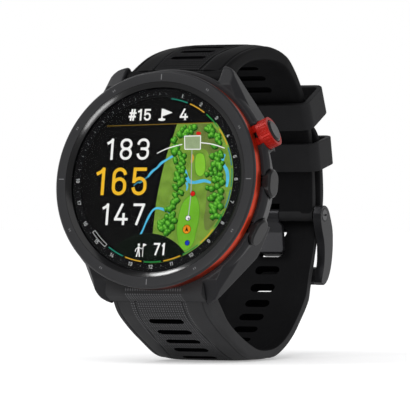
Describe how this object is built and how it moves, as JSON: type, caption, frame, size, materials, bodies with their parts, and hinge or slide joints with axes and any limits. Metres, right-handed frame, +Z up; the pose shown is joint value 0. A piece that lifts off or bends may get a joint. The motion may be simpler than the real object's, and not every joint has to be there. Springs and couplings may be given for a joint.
{
  "type": "golf gps watch",
  "caption": "Round golf GPS watch with colour display, three side keys and a buckled silicone band that stands as a loop.",
  "frame": {"origin": "middle of the bounding box, on the surface that the band loop stands on", "axes": "+X towards 3 o'clock, -Y the way the face looks (it leans back 9.56 degrees), +Z up towards 12 o'clock"},
  "size_m": [0.0496, 0.072, 0.068],
  "materials": {
    "case": "satin",
    "bezel": "satin",
    "accent": "satin",
    "glass": "polished",
    "gasket": "matte",
    "display": "gloss",
    "flex": "satin",
    "chassis": "matte",
    "board": "satin",
    "shield": "satin",
    "cell": "satin",
    "sensor": "gloss",
    "led": "gloss",
    "window": "gloss",
    "rear": "matte",
    "steel": "satin",
    "gold": "polished",
    "antenna": "satin",
    "key": "satin",
    "collar": "satin",
    "seal": "matte",
    "band": "matte",
    "insert": "satin",
    "buckle": "satin"
  },
  "bodies": {
    "watch": {"case_body": "case", "bezel_ring": "bezel", "accent_ring": "accent", "lens_glass": "glass", "lens_gasket": "gasket", "display_module": "display", "display_flex": "flex", "gps_antenna": "antenna", "inner_chassis": "chassis", "main_board": "board", "board_shield": "shield", "battery": "cell", "vibration_motor": "steel", "button_switches": "shield", "sensor_board": "sensor", "sensor_leds": "led", "rear_cover": "rear", "rear_gasket": "seal", "sensor_window": "window", "rear_screws": "steel", "charging_contacts": "gold", "top_button_collar": "collar", "upper_lug_pin": "steel", "lower_lug_pin": "steel", "lower_filler": "band", "top_button_spring": "steel", "middle_button_spring": "steel", "lower_button_spring": "steel"},
    "band_loop": {"short_strap": "band", "tail_strap": "band", "upper_hook": "insert", "lower_hook": "insert", "buckle_bar": "steel", "buckle_screws": "steel"},
    "upper_release": {"upper_latch": "steel"},
    "lower_release": {"lower_latch": "steel"},
    "upper_loop": {"upper_keeper": "band"},
    "lower_loop": {"lower_keeper": "band"},
    "buckle": {"buckle_frame": "buckle"},
    "tongue": {"buckle_tongue": "buckle"},
    "top_key": {"top_button": "key", "top_button_seal": "seal", "top_button_clip": "steel"},
    "middle_key": {"middle_button": "key", "middle_button_seal": "seal", "middle_button_clip": "steel"},
    "lower_key": {"lower_button": "key", "lower_button_seal": "seal", "lower_button_clip": "steel"}
  },
  "joints": [
    {"name": "top_button_press", "type": "slide", "parent": "watch", "child": "top_key", "axis": [-0.9063, -0.0702, -0.4167], "range_m": [0, 0.0006], "stiffness_N_per_m": 900, "springref_m": -0.0004, "deforming": ["top_button_spring"]},
    {"name": "middle_button_press", "type": "slide", "parent": "watch", "child": "middle_key", "axis": [-1, 0, 0], "range_m": [0, 0.0006], "stiffness_N_per_m": 900, "springref_m": -0.0004, "deforming": ["middle_button_spring"]},
    {"name": "lower_button_press", "type": "slide", "parent": "watch", "child": "lower_key", "axis": [-0.9063, 0.0702, 0.4167], "range_m": [0, 0.0006], "stiffness_N_per_m": 900, "springref_m": -0.0004, "deforming": ["lower_button_spring"]},
    {"name": "band_release", "type": "hinge", "parent": "watch", "child": "band_loop", "pos_m": [-0.00044, -0.0206, 0.05953], "axis": [1, 0, 0], "range_deg": [0, 30]},
    {"name": "upper_release_slide", "type": "slide", "parent": "band_loop", "child": "upper_release", "axis": [0, 0.8, 0.6], "range_m": [0, 0.0012], "stiffness_N_per_m": 300, "springref_m": -0.0003},
    {"name": "lower_release_slide", "type": "slide", "parent": "band_loop", "child": "lower_release", "axis": [0, 0.735, -0.678], "range_m": [0, 0.0012], "stiffness_N_per_m": 300, "springref_m": -0.0003},
    {"name": "upper_keeper_slide", "type": "slide", "parent": "band_loop", "child": "upper_loop", "axis": [0, -0.4271, 0.9042], "range_m": [-0.0012, 0.0008]},
    {"name": "lower_keeper_slide", "type": "slide", "parent": "band_loop", "child": "lower_loop", "axis": [0, -0.2121, 0.9773], "range_m": [-0.0012, 0.0012]},
    {"name": "buckle_hinge", "type": "hinge", "parent": "band_loop", "child": "buckle", "pos_m": [-0.00044, 0.02881, 0.03122], "axis": [1, 0, 0], "range_deg": [0, 60]},
    {"name": "tongue_hinge", "type": "hinge", "parent": "band_loop", "child": "tongue", "pos_m": [-0.00044, 0.02881, 0.03122], "axis": [-1, 0, 0], "range_deg": [0, 35]}
  ]
}
